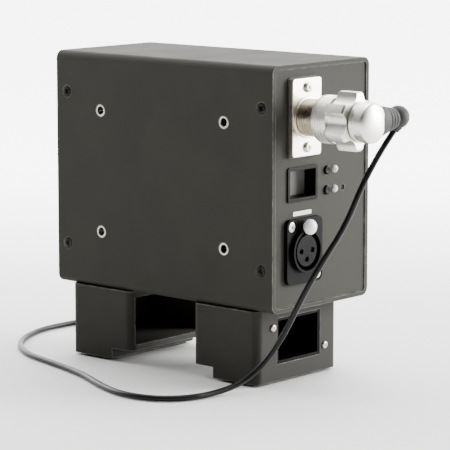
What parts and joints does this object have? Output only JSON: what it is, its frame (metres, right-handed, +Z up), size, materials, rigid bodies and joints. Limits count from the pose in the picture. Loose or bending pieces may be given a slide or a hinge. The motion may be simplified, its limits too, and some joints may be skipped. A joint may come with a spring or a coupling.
{
  "type": "receiver unit",
  "caption": "Tall metal interface box on two cast feet, with a plugged-in multi-pole connector and cable, an audio socket, a rocker switch, buttons and indicator lenses.",
  "frame": {"origin": "the middle of the case in plan, at the height of the surface the feet stand on", "axes": "+Z up, -Y out of the connector panel, +Y out of the vented rear panel, -X out of the side with the mounting threads"},
  "size_m": [0.149, 0.2274, 0.152],
  "materials": {
    "powder_coat": "fine textured powder coat, satin",
    "black_steel": "black oxide",
    "bright_steel": "bright zinc",
    "white_enamel": "printed enamel",
    "black_rubber": "moulded matt",
    "grey_rubber": "moulded matt",
    "black_plastic": "moulded fine spark texture",
    "grey_paddle": "moulded satin",
    "nickel_plate": "satin nickel",
    "gold_contact": "gold plated",
    "silver_contact": "silver plated",
    "white_cap": "polished",
    "lens_plastic": "clear white",
    "circuit_board": "solder mask",
    "brass_spacer": "turned",
    "bare_aluminium": "drawn",
    "cable_jacket": "extruded satin"
  },
  "bodies": {
    "unit": {"case_shell": "powder_coat", "connector_panel": "powder_coat", "rear_panel": "powder_coat", "front_foot": "powder_coat", "rear_foot": "powder_coat", "case_screws": "black_steel", "liner_screws": "bright_steel", "foot_screws": "bright_steel", "pole_screws": "bright_steel", "audio_screws": "bright_steel", "board_screws": "bright_steel", "mount_inserts": "bright_steel", "marking_strip": "white_enamel", "foot_pads": "black_rubber", "window_liner": "black_plastic", "pole_socket": "nickel_plate", "pole_gasket": "black_rubber", "pole_insulator": "black_plastic", "pole_pins": "gold_contact", "plug_shell": "nickel_plate", "plug_insert": "black_plastic", "plug_contacts": "gold_contact", "plug_backshell": "nickel_plate", "cable_boot": "grey_rubber", "audio_socket": "black_plastic", "audio_insert": "black_plastic", "audio_contacts": "silver_contact", "switch_housing": "black_plastic", "switch_terminals": "silver_contact", "indicator_lenses": "lens_plastic", "button_board": "circuit_board", "board_spacers": "brass_spacer", "key_switches": "black_plastic", "indicator_leds": "lens_plastic", "main_board": "circuit_board", "board_standoffs": "brass_spacer", "receiver_board": "circuit_board", "shield_can": "bright_steel", "antenna_board": "circuit_board", "power_module": "black_plastic", "heat_sink": "bare_aluminium", "capacitors": "bare_aluminium", "wire_header": "white_cap", "ribbon_cable": "grey_rubber", "cable_tube": "cable_jacket", "cable_coil": "cable_jacket", "far_plug_boot": "black_rubber", "far_plug_shell": "nickel_plate", "far_plug_insert": "black_plastic", "far_plug_pins": "gold_contact"},
    "rocker": {"switch_rocker": "grey_paddle"},
    "latch": {"audio_latch": "white_cap"},
    "mode": {"mode_button": "black_plastic"},
    "set": {"set_button": "black_plastic"},
    "reset": {"reset_button": "black_plastic"},
    "nut": {"coupling_nut": "nickel_plate"}
  },
  "joints": [
    {"name": "rocker_tilt", "type": "hinge", "parent": "unit", "child": "rocker", "pos_m": [-0.014, -0.062, 0.0956], "axis": [0, 0, 1], "range_deg": [-16, 0]},
    {"name": "latch_press", "type": "slide", "parent": "unit", "child": "latch", "axis": [0, 1, 0], "range_m": [0, 0.0018], "stiffness_N_per_m": 500},
    {"name": "mode_press", "type": "slide", "parent": "unit", "child": "mode", "axis": [0, 1, 0], "range_m": [0, 0.0006], "stiffness_N_per_m": 1500},
    {"name": "set_press", "type": "slide", "parent": "unit", "child": "set", "axis": [0, 1, 0], "range_m": [0, 0.0006], "stiffness_N_per_m": 1500},
    {"name": "reset_press", "type": "slide", "parent": "unit", "child": "reset", "axis": [0, 1, 0], "range_m": [0, 0.0006], "stiffness_N_per_m": 1500},
    {"name": "nut_turn", "type": "hinge", "parent": "unit", "child": "nut", "pos_m": [-0.0139, -0.095, 0.127], "axis": [0, 1, 0], "continuous": true}
  ]
}
